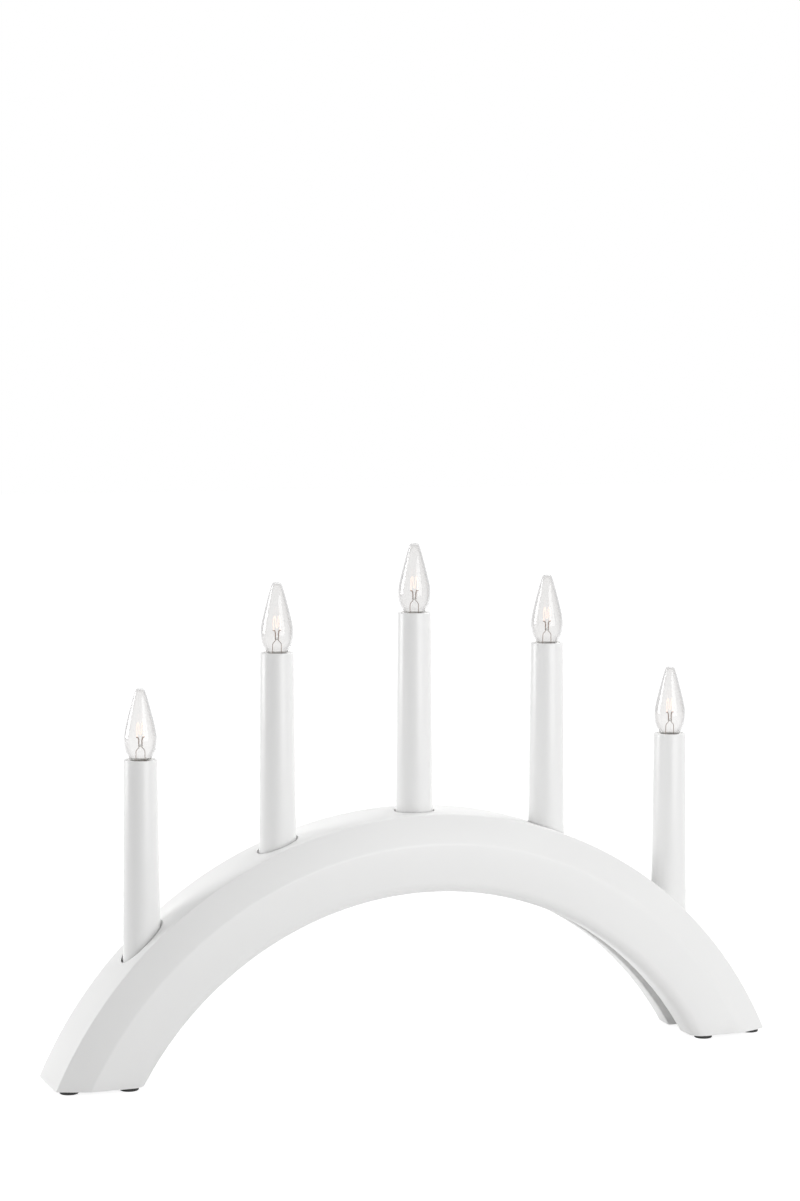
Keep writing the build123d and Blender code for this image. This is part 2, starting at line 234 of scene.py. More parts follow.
# %% [markdown]
# ## Finishes that several pieces share
# Moulded and lacquered surfaces are never quite even. Two small effects show on most of them: a faint change
# of tone and gloss, over centimetres on the arch and millimetres on the small parts, and a fine skin, like
# the peel of an orange, that softens reflections. Both could be built again in every material. They are one
# node group instead, so that each material uses them with its own strengths.

# %% Node helpers
def put(tree, value, socket):
    """Links an output to an input, or sets the input to a plain value."""
    if isinstance(value, bpy.types.NodeSocket):
        tree.links.new(value, socket)
    else:
        socket.default_value = value


def set_inputs(tree, node, inputs):
    """Sets or links the inputs of a node by name, with _ for a space."""
    for key, value in inputs.items():
        put(tree, value, node.inputs[key.replace("_", " ")])
    return node


def add_node(tree, kind, **inputs):
    """Adds a node of a kind, with its inputs set or linked."""
    return set_inputs(tree, tree.nodes.new(kind), inputs)


def add_group(tree, group, **inputs):
    """Adds a node group, with its inputs set or linked."""
    node = tree.nodes.new("ShaderNodeGroup")
    node.node_tree = group
    return set_inputs(tree, node, inputs)


def new_group(name, inputs, outputs):
    """A shader node group with float inputs (name: default) and float outputs (names)."""
    tree = bpy.data.node_groups.new(name, "ShaderNodeTree")
    for key, value in inputs.items():
        socket = tree.interface.new_socket(key, in_out="INPUT", socket_type="NodeSocketFloat")
        socket.default_value = value
    for key in outputs:
        tree.interface.new_socket(key, in_out="OUTPUT", socket_type="NodeSocketFloat")
    return tree, tree.nodes.new("NodeGroupInput"), tree.nodes.new("NodeGroupOutput")


def new_material(name):
    """A material with its tree and its Principled shader."""
    material = bpy.data.materials.new(name)
    material.use_nodes = True
    tree = material.node_tree
    return material, tree, tree.nodes["Principled BSDF"]


print("nodes of Blender", bpy.app.version_string)


# %% Sums, mixes and noise
def calculate(tree, operation, first, second):
    """The output of a Math node on two values or outputs."""
    node = tree.nodes.new("ShaderNodeMath")
    node.operation = operation
    put(tree, first, node.inputs[0])
    put(tree, second, node.inputs[1])
    return node.outputs[0]


def mix_colours(tree, factor, first, second):
    """The output of a Mix node that goes from the first colour to the second."""
    mix = add_node(tree, "ShaderNodeMix", Factor=factor)
    mix.data_type = "RGBA"
    mix.inputs["A"].default_value, mix.inputs["B"].default_value = (*first, 1), (*second, 1)
    return mix.outputs["Result"]


def mix_shaders(tree, factor, first, second):
    """The output of a Mix Shader node: the first shader at 0, the second at 1."""
    mix = add_node(tree, "ShaderNodeMixShader", Fac=factor)
    tree.links.new(first.outputs[0], mix.inputs[1])
    tree.links.new(second.outputs[0], mix.inputs[2])
    return mix


def noise_on_object(tree, **inputs):
    """The output of a noise that stays fixed to the piece."""
    place = tree.nodes.new("ShaderNodeTexCoord")
    return add_node(tree, "ShaderNodeTexNoise", Vector=place.outputs["Object"], **inputs).outputs["Fac"]


print("values, colours and shaders can be mixed")

# %% Group: uneven skin
MIDDLE = 0.5  # what noise gives on average
skin, skin_in, skin_out = new_group(
    "uneven skin",
    {"Patch Scale": 30.0, "Skin Scale": 900.0, "Roughness": 0.35, "Roughness Spread": 0.06},
    ("Patch", "Skin", "Roughness"),
)
patches = noise_on_object(skin, Scale=skin_in.outputs["Patch Scale"], Detail=3.0)
peel = noise_on_object(skin, Scale=skin_in.outputs["Skin Scale"], Detail=1.0)
swing = calculate(skin, "SUBTRACT", patches, MIDDLE)
spread = calculate(skin, "MULTIPLY", swing, skin_in.outputs["Roughness Spread"])
rough = calculate(skin, "ADD", spread, skin_in.outputs["Roughness"])
set_inputs(skin, skin_out, {"Patch": patches, "Skin": peel, "Roughness": rough})
print("group", skin.name, "of", len(skin.nodes), "nodes")


# %% Finishes of wood, plastic, rubber and metal
def painted(name, light, dark, patch_scale, skin_scale, roughness, spread, bump, bump_depth, metallic=0.0):
    """A material of two close tones in soft patches, over a fine skin. The bump's depth is in millimetres."""
    material, tree, shader = new_material(name)
    uneven = add_group(
        tree, skin, Patch_Scale=patch_scale, Skin_Scale=skin_scale, Roughness=roughness,
        Roughness_Spread=spread,
    ).outputs
    relief = add_node(tree, "ShaderNodeBump", Height=uneven["Skin"], Strength=bump, Distance=bump_depth * MM)
    set_inputs(tree, shader, {
        "Base Color": mix_colours(tree, uneven["Patch"], light, dark), "Metallic": metallic,
        "Roughness": uneven["Roughness"], "Normal": relief.outputs["Normal"],
    })
    return material


# name, light tone, dark tone,
#     patch scale, skin scale, roughness, its spread, bump strength, bump depth, metallic
lacquer = painted(
    "white lacquer", (0.88, 0.88, 0.875), (0.85, 0.85, 0.845),
    12, 1400, 0.34, 0.08, 0.08, 0.02)
white_plastic = painted(
    "white plastic", (0.88, 0.88, 0.876), (0.86, 0.86, 0.855),
    25, 1800, 0.3, 0.06, 0.06, 0.02)
rubber = painted(
    "black rubber", (0.018, 0.018, 0.018), (0.03, 0.03, 0.03),
    200, 2500, 0.7, 0.1, 0.4, 0.1)
holder_plastic = painted(
    "holder plastic", (0.86, 0.86, 0.84), (0.82, 0.82, 0.8),
    60, 1500, 0.45, 0.1, 0.1, 0.03)
brass = painted(
    "brass", (0.72, 0.55, 0.27), (0.6, 0.45, 0.22),
    120, 3000, 0.28, 0.15, 0.1, 0.02, 1.0)
nickel = painted(
    "nickel plate", (0.68, 0.66, 0.62), (0.6, 0.58, 0.53),
    150, 3000, 0.24, 0.12, 0.08, 0.02, 1.0)
black_glass = painted(
    "black glass", (0.012, 0.012, 0.014), (0.02, 0.02, 0.02),
    150, 900, 0.12, 0.05, 0.1, 0.05)
soft_solder = painted(
    "soft solder", (0.55, 0.55, 0.56), (0.45, 0.45, 0.46),
    400, 1500, 0.38, 0.2, 0.3, 0.1, 1.0)
lead_metal = painted(
    "lead wire", (0.36, 0.28, 0.24), (0.24, 0.18, 0.15),
    300, 3000, 0.4, 0.15, 0.1, 0.02, 1.0)
steel = painted(
    "staple steel", (0.6, 0.6, 0.6), (0.5, 0.5, 0.5),
    150, 2500, 0.32, 0.12, 0.1, 0.02, 1.0)
tin = painted(
    "tinned copper", (0.66, 0.65, 0.63), (0.56, 0.55, 0.54),
    200, 2500, 0.35, 0.15, 0.15, 0.03, 1.0)
wire_plastic = painted(
    "wire insulation", (0.84, 0.84, 0.82), (0.8, 0.8, 0.78),
    80, 2000, 0.4, 0.08, 0.1, 0.02)
print("finishes with the uneven skin:", skin.users)

# %% [markdown]
# ## Clear glass
# The bulbs and the beads in them are clear glass, which shows by little: it turns grey where it is seen
# edge-on, and it mirrors the room in narrow streaks. A Glass shader could make it. The Principled shader with
# full transmission is used, because other programs can read its values too. Its colour holds painted shade:
# Layer Weight makes it darker towards the edge, where real glass turns grey by mirroring the darker room. It
# also gets a volume that takes up a little light, and a very slight ripple, because blown glass is never
# quite even. Lamp light passes straight through, since light that is bent by glass on its way to a surface
# needs many more samples to look clean.

# %% Group: slight ripple
ripple, ripple_in, ripple_out = new_group("slight ripple", {"Scale": 110.0}, ("Height",))
waves = noise_on_object(ripple, Scale=ripple_in.outputs["Scale"], Detail=0.0)
set_inputs(ripple, ripple_out, {"Height": waves})
print("group", ripple.name, "of", len(ripple.nodes), "nodes")

# %% Glass
# Where the painted edge shade starts and ends, as values of Facing
EDGE_SHADE_START, EDGE_SHADE_END = 0.18, 0.65  # of Facing, which is 0 face-on and 1 edge-on
RIPPLE_STRENGTH, RIPPLE_DEPTH = 0.03, 0.1  # the depth in millimetres
GLASS_IOR = 1.5
GLASS_GREY, GLASS_DENSITY = (0.86, 0.855, 0.855, 1), 400.0  # the density for each metre
STRAIGHT_TINT = (0.97, 0.97, 0.97, 1)


def clear_glass(name, tint, painted_edge_shade, ripple_scale):
    """Glass with a very slight ripple, and painted shade that makes it greyer where it is seen edge-on."""
    material, tree, shader = new_material(name)
    weight = add_node(tree, "ShaderNodeLayerWeight", Blend=0.5)
    # Painted shade: the colour goes from the tint to the darker edge colour as the glass turns edge-on, where
    # real glass mirrors the darker room
    edge = add_node(
        tree, "ShaderNodeMapRange", Value=weight.outputs["Facing"], From_Min=EDGE_SHADE_START, From_Max=EDGE_SHADE_END
    )
    edge.interpolation_type = "SMOOTHSTEP"
    height = add_group(tree, ripple, Scale=ripple_scale).outputs["Height"]
    relief = add_node(
        tree, "ShaderNodeBump", Height=height, Strength=RIPPLE_STRENGTH, Distance=RIPPLE_DEPTH * MM
    )
    set_inputs(tree, shader, {
        "Base Color": mix_colours(tree, edge.outputs["Result"], tint, painted_edge_shade), "Roughness": 0.0,
        "IOR": GLASS_IOR, "Transmission Weight": 1.0, "Normal": relief.outputs["Normal"],
    })
    path = tree.nodes.new("ShaderNodeLightPath").outputs
    passing = calculate(tree, "MAXIMUM", path["Is Shadow Ray"], path["Is Diffuse Ray"])
    straight = add_node(tree, "ShaderNodeBsdfTransparent", Color=STRAIGHT_TINT)
    grey = add_node(tree, "ShaderNodeVolumeAbsorption", Color=GLASS_GREY, Density=GLASS_DENSITY)
    set_inputs(tree, tree.nodes["Material Output"], {
        "Surface": mix_shaders(tree, passing, shader, straight).outputs[0], "Volume": grey.outputs["Volume"],
    })
    return material


# The second colour of each glass is its painted edge shade
bulb_clear = clear_glass("bulb glass", (0.88, 0.876, 0.872), (0.67, 0.665, 0.665), 110.0)
bead_clear = clear_glass("bead glass", (0.8, 0.8, 0.78), (0.7, 0.7, 0.68), 110.0)
print("glass:", bulb_clear.name, "and", bead_clear.name)

# %% [markdown]
# ## The glow
# Each filament glows a faint, warm pink. A small lamp inside the bulb would light up the whole tube below it,
# and this glow is too weak for that. So the filament's own surface gives off the light, through the emission
# of its Principled shader, and a noise makes some stretches of it hotter than others.

# %% Glow
HEAT_SCALE, GLOW_STRENGTH = 350.0, 1.2
glow, tree, shader = new_material("glowing filament")
heat = noise_on_object(tree, Scale=HEAT_SCALE, Detail=1.0)
set_inputs(tree, shader, {
    "Emission Color": mix_colours(tree, heat, (1.0, 0.86, 0.79), (1.0, 0.76, 0.69)),
    "Base Color": mix_colours(tree, heat, (0.34, 0.22, 0.16), (0.2, 0.13, 0.1)),
    "Emission Strength": GLOW_STRENGTH,
})
print("glow of strength", GLOW_STRENGTH)

# %% [markdown]
# ## The arch
# The arch is a thick band of laminated wood, bent to part of a circle and milled: two wide bevels along the
# top edges, a soft rounding along the lower ones, a groove underneath for the wires and a bore for each
# candle. It is one section carried round the circle's centre, so a spin about that centre makes it exactly.
# A curve with a bevel object could do the same, but the spin leaves a mesh with even steps. The feet are cut
# with a plane, and the bores with a boolean, as the real ones are drilled.

# %% Section of the arch
OUTER_RADIUS, CENTRE_DROP = 202.5, 82.2
BAND_WIDTH, BAND_DEPTH = 38.0, 45.0
BEVEL_WIDTH, BEVEL_SETBACK = 14.0, 6.0
INNER_ROUNDING, EDGE_ROUNDING, GROOVE_ROUNDING = 6.0, 0.7, 0.8
GROOVE_WIDTH, GROOVE_DEPTH = 13.0, 10.0


def arch_section():
    """The closed outline of the band's section, drawn at the crown in the YZ plane about its centre."""
    half, groove = BAND_DEPTH / 2, GROOVE_WIDTH / 2
    foot = OUTER_RADIUS - BAND_WIDTH
    side = [
        (half - BEVEL_SETBACK, OUTER_RADIUS),
        (half, OUTER_RADIUS - BEVEL_WIDTH),
        (half, foot),
        (groove, foot),
        (groove, foot + GROOVE_DEPTH),
    ]
    corners = side + [(-y, z) for y, z in reversed(side)]
    roundings = {
        0: EDGE_ROUNDING, 1: EDGE_ROUNDING, 2: INNER_ROUNDING, 3: GROOVE_ROUNDING,
        6: GROOVE_ROUNDING, 7: INNER_ROUNDING, 8: EDGE_ROUNDING, 9: EDGE_ROUNDING,
    }
    bm = outline_mesh(corners, roundings, segments=6)
    bmesh.ops.rotate(bm, verts=list(bm.verts), cent=(0, 0, 0), matrix=Matrix.Rotation(pi / 2, 3, "Z"))
    return bm


print("section", BAND_DEPTH, "by", BAND_WIDTH, "mm")

# %% Band of the arch
PAD_THICKNESS = 1.6
ARCH_STEPS = 132
END_OVERRUN = radians(1.5)  # how far the band runs past the cut at each foot
centre = Vector((0, 0, (PAD_THICKNESS - CENTRE_DROP) * MM))
half_angle = acos(CENTRE_DROP / OUTER_RADIUS) + END_OVERRUN


def arch_band():
    """The section spun about the arch's centre, with its ends closed and its feet cut level."""
    bm = arch_section()
    bmesh.ops.rotate(
        bm, verts=list(bm.verts), cent=(0, 0, 0), matrix=Matrix.Rotation(-half_angle, 3, "Y")
    )
    first = list(bm.edges)
    spun = bmesh.ops.spin(
        bm, geom=list(bm.verts) + first, cent=(0, 0, 0), axis=(0, 1, 0), angle=2 * half_angle,
        steps=ARCH_STEPS, use_merge=False,
    )
    last = [item for item in spun["geom_last"] if isinstance(item, bmesh.types.BMEdge)]
    bmesh.ops.contextual_create(bm, geom=first)
    bmesh.ops.contextual_create(bm, geom=last)
    bmesh.ops.translate(bm, verts=list(bm.verts), vec=centre)
    cut = bmesh.ops.bisect_plane(
        bm, geom=list(bm.verts) + list(bm.edges) + list(bm.faces), plane_co=(0, 0, PAD_THICKNESS * MM),
        plane_no=(0, 0, -1), clear_outer=True,
    )
    open_edges = [edge for edge in cut["geom_cut"] if isinstance(edge, bmesh.types.BMEdge)]
    bmesh.ops.holes_fill(bm, edges=open_edges, sides=0)
    return close_mesh(bm)


arch = add_piece(arch_band(), "arch_band")
print("band of", len(arch.data.polygons), "faces")

# %% Bores of the arch
SEAT_RADIUS, BORE_RADIUS, SLEEVE_LENGTH = 10.0, 6.3, 110.0
PLUG_BELOW, PLUG_ABOVE, PLUG_STEPS = 40.0, 60.0, 96


def bore_cutters():
    """One stepped plug for each candle: a wide seat from above and a narrow bore into the groove."""
    bm = bmesh.new()
    for n in CANDLES:
        seat = mouths[n].z / MM - SLEEVE_LENGTH
        bottom, top = seat - PLUG_BELOW, seat + PLUG_ABOVE
        corners = [
            (0, bottom), (BORE_RADIUS, bottom), (BORE_RADIUS, seat), (SEAT_RADIUS, seat), (SEAT_RADIUS, top),
            (0, top),
        ]
        plug = turned(corners, PLUG_STEPS)
        bmesh.ops.translate(plug, verts=list(plug.verts), vec=(mouths[n].x, mouths[n].y, 0))
        join(bm, plug)
    return bm


def carve(piece, cutter):
    """Applies a boolean difference, marks the new rims sharp and removes the cutter."""
    boolean = piece.modifiers.new("bores", "BOOLEAN")
    boolean.object, boolean.operation, boolean.solver = cutter, "DIFFERENCE", "EXACT"
    evaluated = piece.evaluated_get(bpy.context.evaluated_depsgraph_get())
    carved = bpy.data.meshes.new_from_object(evaluated)
    bm = bmesh.new()
    bm.from_mesh(carved)
    shade_smooth(bm)
    bm.to_mesh(carved)
    bm.free()
    piece.modifiers.clear()
    piece.data = carved
    bpy.data.objects.remove(cutter)


carve(arch, add_piece(bore_cutters(), "cutters"))
dress(arch, lacquer, "root", "arch", "arch")
print("arch faces", len(arch.data.polygons), "size", [round(v / MM, 1) for v in arch.dimensions])

# %% [markdown]
# ## Pads under the feet
# Eight small black discs keep the lacquer off the table. They could be plain discs, but each is a turned
# shape with a soft upper and lower edge, because a bare edge would catch the light as no rubber does.

# %% Pads
PAD_RADIUS, PAD_STEPS = 4.5, 40
PAD_OUTLINE = [(0, 0), (PAD_RADIUS, 0), (PAD_RADIUS, PAD_THICKNESS), (0, PAD_THICKNESS)]
PAD_ROUNDINGS = {1: 0.35, 2: 0.2}
PAD_PLACES = ((150.0, 17.5), (178.0, 13.8))
CORNERS = ((-1, -1), (-1, 1), (1, -1), (1, 1))
pad_places = [(sx * x * MM, sy * y * MM, 0) for x, y in PAD_PLACES for sx, sy in CORNERS]
for number, place in enumerate(pad_places, 1):
    pad = add_piece(turned(PAD_OUTLINE, PAD_STEPS, PAD_ROUNDINGS), f"pad_{number}", place)
    dress(pad, rubber, "root", "foot_pads", "foot_pads")
print("pads", len(pad_places))

# %% [markdown]
# ## Candle sleeves
# Each candle is a moulded tube that narrows towards its mouth, so that it leaves its mould easily. A spigot
# under its foot plugs into the arch. The mouth has a soft lip, because a sharp edge would chip. A cylinder
# scaled at its top would do for the outside, but the outline also gives the hollow and the spigot at once.

# %% Candle sleeves
SLEEVE_OUTLINE = [
    (6.2, -118.0), (6.2, -110.0), (9.2, -110.0), (8.0, 0.0), (6.6, 0.0), (7.78, -108.6), (4.8, -108.6),
    (4.8, -118.0),
]
SLEEVE_ROUNDINGS, SLEEVE_STEPS = {0: 0.4, 2: 0.3, 3: 0.5, 4: 0.3, 7: 0.4}, 96


def sleeve():
    return turned(SLEEVE_OUTLINE, SLEEVE_STEPS, SLEEVE_ROUNDINGS)


at_each_candle(sleeve, "sleeve", white_plastic, "root", "sleeve", "candle_sleeve")

# %% [markdown]
# ## Lamp holders
# Inside the mouth sits the holder, a plastic cup that is wedged in the taper of the tube. Its rim lies almost
# flush with the mouth, and a small inner lip guards the edge of the screw shell.

# %% Holders
HOLDER_OUTLINE = [
    (0, -18.2), (6.5, -18.2), (6.5, -0.3), (5.1, -0.3), (4.95, -0.45), (4.95, -1.0), (5.47, -1.6),
    (5.47, -12.4), (4.47, -12.4), (4.47, -15.2), (0, -15.2),
]
HOLDER_STEPS = 64


def holder():
    return turned(HOLDER_OUTLINE, HOLDER_STEPS, {1: 0.4, 2: 0.2})


at_each_candle(holder, "holder", holder_plastic, "root", "holder", "lamp_holder")

# %% [markdown]
# ## Screw shells and caps
# A screw shell of thin brass sits in the holder, and the bulb's nickel-plated cap turns in it. Both have the
# same thread, 10 mm across with a pitch of 1.8 mm, rolled into sheet metal. A helix of faces wound round a
# tube could show it, but its ends would need care. Here the outline is spun like the others, and then each
# ring of vertices is pushed in or out along a helix, so that the thread fades out at both ends.

# %% Threads
PITCH, THREAD_DEPTH, THREAD_STEPS, ROWS_PER_PITCH = 1.814, 0.22, 64, 8
WALL_PITCHES = 2  # a wall lower than this many pitches gets no rows, and so no thread


def smooth_step(t):
    """Goes from 0 to 1 with a level start and end."""
    t = min(max(t, 0.0), 1.0)
    return t * t * (3 - 2 * t)


def threaded(corners, low, high):
    """Spins a thin wall and rolls a thread into it between two heights. The thread fades over a pitch."""
    bm = outline_mesh(corners)
    for edge in list(bm.edges):
        rise = abs(edge.verts[0].co.z - edge.verts[1].co.z)
        if rise > WALL_PITCHES * PITCH * MM:
            rows = round(rise / (PITCH * MM) * ROWS_PER_PITCH)
            bmesh.ops.subdivide_edges(bm, edges=[edge], cuts=rows)
    close_mesh(spin_round(bm, THREAD_STEPS))
    for vert in bm.verts:
        radius, height = vert.co.xy.length, vert.co.z / MM
        turn = vert.co.xy.angle_signed(Vector((1, 0)))
        share = smooth_step((height - low) / PITCH) * smooth_step((high - height) / PITCH)
        push = share * THREAD_DEPTH * MM * cos(2 * pi * height / PITCH - turn)
        vert.co.xy *= 1 + push / radius
    return bm


print("thread of pitch", PITCH, "mm with", ROWS_PER_PITCH, "rows a turn")


# %% Shells and caps
def shell():
    return threaded([(4.75, -12.4), (5.15, -12.4), (5.15, -2.6), (4.75, -2.6)], -12.4, -3.0)


def cap():
    corners = [
        (3.6, -10.5), (4.3, -10.3), (4.45, -9.9), (4.45, -1.5), (4.15, -1.5), (4.15, -9.8), (3.6, -10.2)
    ]
    return threaded(corners, -9.9, -2.4)


at_each_candle(shell, "shell", brass, "root", "brass_contact", "screw_shell")
at_each_candle(cap, "cap", nickel, "bulb_{}", "bulb_cap", "bulb_cap")

# %% [markdown]
# ## Foot of the bulb
# A cone of black glass closes the cap and keeps it apart from the drop of solder in the middle, which touches
# the holder's spring. Both are turned shapes, with roundings where molten glass and solder would have them.
# The solder is round, so its turning can't be seen, and it moves with the body that only rises.

# %% Insulators and solder tips
INSULATOR_OUTLINE = [(0, -12.2), (2.2, -12.2), (3.6, -11.2), (4.05, -10.4), (4.05, -9.6), (0, -9.6)]
TIP_OUTLINE = [(0, -13.2), (1.0, -13.2), (1.55, -12.85), (1.6, -12.2), (0, -12.2)]
INSULATOR_STEPS, TIP_STEPS = 48, 32


def insulator():
    return turned(INSULATOR_OUTLINE, INSULATOR_STEPS, {1: 0.3, 2: 0.6, 3: 0.4})


def tip():
    return turned(TIP_OUTLINE, TIP_STEPS, {1: 0.4, 2: 0.25})


at_each_candle(insulator, "insulator", black_glass, "bulb_{}", "insulator", "cap_insulator")
at_each_candle(tip, "tip", soft_solder, "bulb_{}_thread", "solder", "solder_tip")

# %% [markdown]
# ## Bulb glass
# The bulb is blown from clear tube into the shape of a flame, and its tip is melted shut and blunt. Two
# outlines are spun, one for the outside and one for the hollow, and the hollow is turned inside out. A
# Solidify modifier would give an even wall, but the foot is a thick plug of glass, through which the two
# leads pass. A subdivision then makes the whole as smooth as glass is.

# %% Bulb glass
GLASS_STEPS, GLASS_SUBDIVISIONS = 32, 2
GLASS_OUTSIDE = [
    (0, -4.5), (3.6, -4.5), (4.2, -3.9), (4.2, -1.4), (5.0, -0.4), (5.4, 0.5), (5.8, 1.6), (6.8, 3.0),
    (7.6, 5.4), (7.95, 8.6), (7.9, 11.4), (7.3, 14.6), (6.1, 19.6), (4.7, 24.9), (3.5, 29.3), (2.55, 32.2),
    (2.2, 33.2), (1.6, 33.6), (0, 33.6),
]
GLASS_HOLLOW = [
    (0, -3.7), (3.3, -3.7), (3.7, -3.3), (3.7, -1.2), (4.5, -0.2), (4.9, 0.7), (5.3, 1.9), (6.3, 3.3),
    (7.1, 5.6), (7.45, 8.7), (7.4, 11.3), (6.8, 14.5), (5.6, 19.5), (4.2, 24.8), (3.0, 29.2), (2.05, 32.0),
    (1.7, 32.8), (1.1, 33.1), (0, 33.1),
]


def flame():
    bm = turned(GLASS_OUTSIDE, GLASS_STEPS)
    hollow = turned(GLASS_HOLLOW, GLASS_STEPS)
    bmesh.ops.reverse_faces(hollow, faces=list(hollow.faces))
    join(bm, hollow)
    return bm


for piece in at_each_candle(flame, "glass", bulb_clear, "bulb_{}", "bulb_glass", "bulb_glass", sharp=pi):
    smooth = piece.modifiers.new("smooth", "SUBSURF")
    smooth.levels = smooth.render_levels = GLASS_SUBDIVISIONS

# %% [markdown]
# ## Leads, filament and bead
# Two stiff leads rise from the cap, lean together at a small glass bead and end in hooks. The filament is
# strung between the hooks in four close strands, which together give the glow its width. Thin bent wires
# could be skinned from edges, but they are simplest as curves with a round bevel. Each is made a mesh,
# because then its place can sit in the mesh as it does in every other piece.

# %% Bent wires
ROUND_DETAIL, BEND_DETAIL, SPLINE_ORDER = 5, 6, 3
HOOK_THICKNESS = 1.7  # times the lead's own


def bent_wire(name, points, radius, place, thick=()):
    """A round wire along a smooth spline, as a mesh at its place, thicker at some points. Millimetres."""
    data = bpy.data.curves.new(name, "CURVE")
    data.dimensions = "3D"
    data.bevel_depth, data.bevel_resolution = radius * MM, ROUND_DETAIL
    data.use_fill_caps = True
    data.resolution_u = BEND_DETAIL
    spline = data.splines.new("NURBS")
    spline.points.add(len(points) - 1)
    for i, (point, co) in enumerate(zip(spline.points, points)):
        point.co = (*(Vector(co) * MM), 1)
        point.radius = HOOK_THICKNESS if i in thick else 1.0
    spline.order_u, spline.use_endpoint_u = SPLINE_ORDER, True
    bent = bpy.data.objects.new(name, data)
    scene.collection.objects.link(bent)
    bpy.context.view_layer.update()
    mesh = bpy.data.meshes.new_from_object(bent.evaluated_get(bpy.context.evaluated_depsgraph_get()))
    bpy.data.objects.remove(bent)
    bpy.data.curves.remove(data)
    bm = bmesh.new()
    bm.from_mesh(mesh)
    bpy.data.meshes.remove(mesh)
    return add_piece(close_mesh(bm), name, place)


print("hooks are", HOOK_THICKNESS, "times as thick as their leads")

# %% Leads and filaments
LEAD_RADIUS, FILAMENT_RADIUS = 0.17, 0.28
LEAD_RISE = [
    (2.2, 0, -4.9), (2.2, 0, 2.5), (2.2, 0, 4.2), (0.6, 0, 5.7), (0.55, 0, 6.6), (0.85, 0, 7.5),
    (0.7, 0, 8.4), (0.85, 0, 9.6), (1.2, 0, 10.7), (2.0, 0, 10.5),
]
HOOK = range(5, 10)  # the points of the lead that make its hook
FILAMENT_LINE = [
    (-1.6, 0, 10.6), (-1.8, 0, 12.5), (-1.8, 0, 16.0), (-0.9, 0, 17.8), (-0.6, 0, 14.5), (-0.5, 0, 11.8),
    (0.5, 0, 11.8), (0.6, 0, 14.5), (0.9, 0, 17.8), (1.8, 0, 16.0), (1.8, 0, 12.5), (1.6, 0, 10.6),
]
mirrored_rise = [(-x, y, z) for x, y, z in LEAD_RISE]
for n in CANDLES:
    left = bent_wire(f"lead_a_{n}", mirrored_rise, LEAD_RADIUS, mouths[n], thick=HOOK)
    right = bent_wire(f"lead_b_{n}", LEAD_RISE, LEAD_RADIUS, mouths[n], thick=HOOK)
    filament = bent_wire(f"filament_{n}", FILAMENT_LINE, FILAMENT_RADIUS, mouths[n])
    for lead in (left, right):
        dress(lead, lead_metal, f"bulb_{n}", "filament_mount", f"filament_mount_{n}")
    dress(filament, glow, f"bulb_{n}", "filament_mount")
print("lead", len(left.data.polygons), "faces, filament", len(filament.data.polygons), "faces")

# %% Beads
BEAD_OUTLINE = [(0, 5.85), (0.75, 5.9), (1.25, 6.5), (0.75, 7.1), (0, 7.15)]
BEAD_STEPS = 24


def bead():
    return turned(BEAD_OUTLINE, BEAD_STEPS, {1: 0.3, 2: 0.4, 3: 0.3})


at_each_candle(bead, "bead", bead_clear, "bulb_{}", "filament_mount", None)

# %% [markdown]
# ## Parts that keep their CAD shape
# Wires, staples, splices and contact tongues lie out of sight in the groove and the holders. They could be
# made anew with rounder sides, but their CAD solids are right as they are, so they only get a finish.

# %% Finishes on CAD nodes
CAD_FINISHES = {
    "link_wire": wire_plastic, "supply_wire": wire_plastic, "return_wire": wire_plastic,
    "contact_tongue": brass, "crimp_splices": tin, "wire_staples": steel,
}
for name, node in nodes.items():
    for start, material in CAD_FINISHES.items():
        if name.startswith(start):
            node.data.materials.clear()
            node.data.materials.append(material)
            print("finish on", name)

# %% [markdown]
# ## Floor
# The photograph is a cut-out on white. Here the object stands on a plain pale floor. More light would make
# the floor white, but the object with it. Instead, what the camera, a mirror or glass shows of the floor is
# lifted to white by some light of its own, and all other rays meet a plain grey floor. From below, the floor
# is open, so that the object's underside can be looked at too.

# %% Floor
FLOOR_HALF = 6.0
FLOOR_GAP = 0.1  # millimetres below the pads, so that the two never share a plane
floor_bm = bmesh.new()
bmesh.ops.create_grid(floor_bm, x_segments=1, y_segments=1, size=FLOOR_HALF)
floor = add_piece(floor_bm, "floor", (0, 0, -FLOOR_GAP * MM))
print("floor", 2 * FLOOR_HALF, "m wide,", FLOOR_GAP, "mm below the pads")


# %% Helpers for the surroundings
def new_output(target, kind):
    """Turns on a material's or a world's nodes and leaves only an output. Gives the tree and the output."""
    target.use_nodes = True
    tree = target.node_tree
    tree.nodes.clear()
    return tree, tree.nodes.new(kind)


def seen_directly(tree):
    """1 for camera, mirror and glass rays, else 0."""
    path = tree.nodes.new("ShaderNodeLightPath").outputs
    first = calculate(tree, "MAXIMUM", path["Is Camera Ray"], path["Is Glossy Ray"])
    return calculate(tree, "MAXIMUM", first, path["Is Transmission Ray"])


print("camera, mirror and glass rays are told from the others")

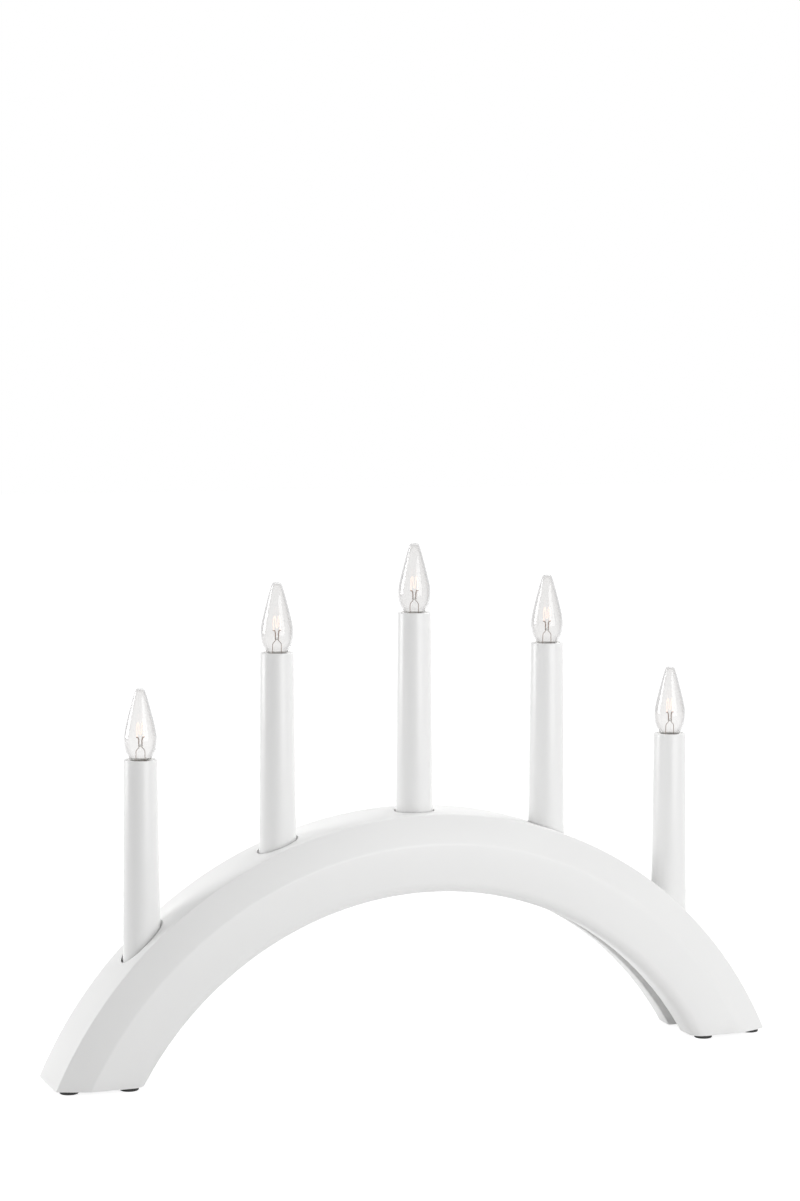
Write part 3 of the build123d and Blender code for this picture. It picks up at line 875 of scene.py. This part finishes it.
# %% Finish of the floor
NEAR_FLOOR, FAR_FLOOR = 0.4, 1.2  # metres from the object
NEAR_LIFT, FAR_LIFT = 0.86, 1.0
PLAIN_FLOOR, FAINT_FLOOR = (0.8, 0.8, 0.8, 1), (0.4, 0.4, 0.4, 1)
WHITE = (1, 1, 1, 1)
floor_material = bpy.data.materials.new("floor")
tree, output = new_output(floor_material, "ShaderNodeOutputMaterial")
plain = add_node(tree, "ShaderNodeBsdfDiffuse", Color=PLAIN_FLOOR)
faint = add_node(tree, "ShaderNodeBsdfDiffuse", Color=FAINT_FLOOR)
spot = tree.nodes.new("ShaderNodeTexCoord")
reach = add_node(tree, "ShaderNodeVectorMath", Vector=spot.outputs["Object"])
reach.operation = "LENGTH"
fade = add_node(
    tree, "ShaderNodeMapRange", Value=reach.outputs["Value"], From_Min=NEAR_FLOOR, From_Max=FAR_FLOOR,
    To_Min=NEAR_LIFT, To_Max=FAR_LIFT,
)
lift = add_node(tree, "ShaderNodeEmission", Strength=fade.outputs["Result"])
lifted = tree.nodes.new("ShaderNodeAddShader")
tree.links.new(faint.outputs[0], lifted.inputs[0])
tree.links.new(lift.outputs[0], lifted.inputs[1])
from_above = mix_shaders(tree, seen_directly(tree), plain, lifted)
side = tree.nodes.new("ShaderNodeNewGeometry")
clear = add_node(tree, "ShaderNodeBsdfTransparent", Color=WHITE)
both_sides = mix_shaders(tree, side.outputs["Backfacing"], from_above, clear)
tree.links.new(both_sides.outputs[0], output.inputs["Surface"])
floor.data.materials.append(floor_material)
print("floor finish of", len(tree.nodes), "nodes, lifted from", NEAR_LIFT, "to", FAR_LIFT)

# %% [markdown]
# ## Background
# The world is white where it is seen, in mirrors and in glass too, and only a weak even light for all else.
# A white wall behind the object could do the same, but it would stand in the way of the other views.

# %% World
AMBIENT = 0.3
world = bpy.data.worlds.new("studio")
scene.world = world
tree, output = new_output(world, "ShaderNodeOutputWorld")
seen = add_node(tree, "ShaderNodeBackground", Color=WHITE, Strength=1.0)
ambient = add_node(tree, "ShaderNodeBackground", Color=WHITE, Strength=AMBIENT)
background = mix_shaders(tree, seen_directly(tree), ambient, seen)
tree.links.new(background.outputs[0], output.inputs["Surface"])
scene.view_settings.view_transform = "Standard"
print("ambient light", AMBIENT)

# %% [markdown]
# ## Lamps
# Five large soft boxes stand round the object, at a level at which a colour renders about as it is written.
# Small lamps or a sun would draw hard shadows, which a white product picture doesn't have. The places and
# the strengths of the lamps come from the tones on the lacquer and on the tubes.

# %% Lamps
LAMP_AIM, LAMP_DISTANCE = Vector((0, 0, 0.12)), 1.25
LAMPS = {  # name: degrees round from the front to the right, degrees up, size in metres, watts
    "front": (18, 12, 0.8, 6.6),
    "right_top": (60, 66, 0.6, 3.2),
    "right_back": (120, 44, 0.6, 4.7),
    "back_top": (180, 66, 0.6, 2.9),
    "left_back": (-120, 12, 0.6, 7.2),
}
for name, (turn, rise, size, power) in LAMPS.items():
    data = bpy.data.lights.new(name, "AREA")
    data.shape, data.size = "SQUARE", size
    data.energy = power
    lamp = bpy.data.objects.new(name, data)
    turn, rise = radians(turn), radians(rise)
    way = Vector((sin(turn) * cos(rise), -cos(turn) * cos(rise), sin(rise)))
    lamp.location = LAMP_AIM + way * LAMP_DISTANCE
    lamp.rotation_mode = "QUATERNION"
    lamp.rotation_quaternion = (-way).to_track_quat("-Z", "Y")
    lamp.visible_camera = lamp.visible_transmission = False
    scene.collection.objects.link(lamp)
print("lamps", list(LAMPS))

# %% [markdown]
# ## New pieces
# The pieces that the script added are counted, the floor among them.

# %% New pieces
new_pieces = [piece.name for piece in scene.objects if piece.type == "MESH" and piece.name not in nodes]
print("new pieces, the floor among them:", len(new_pieces))
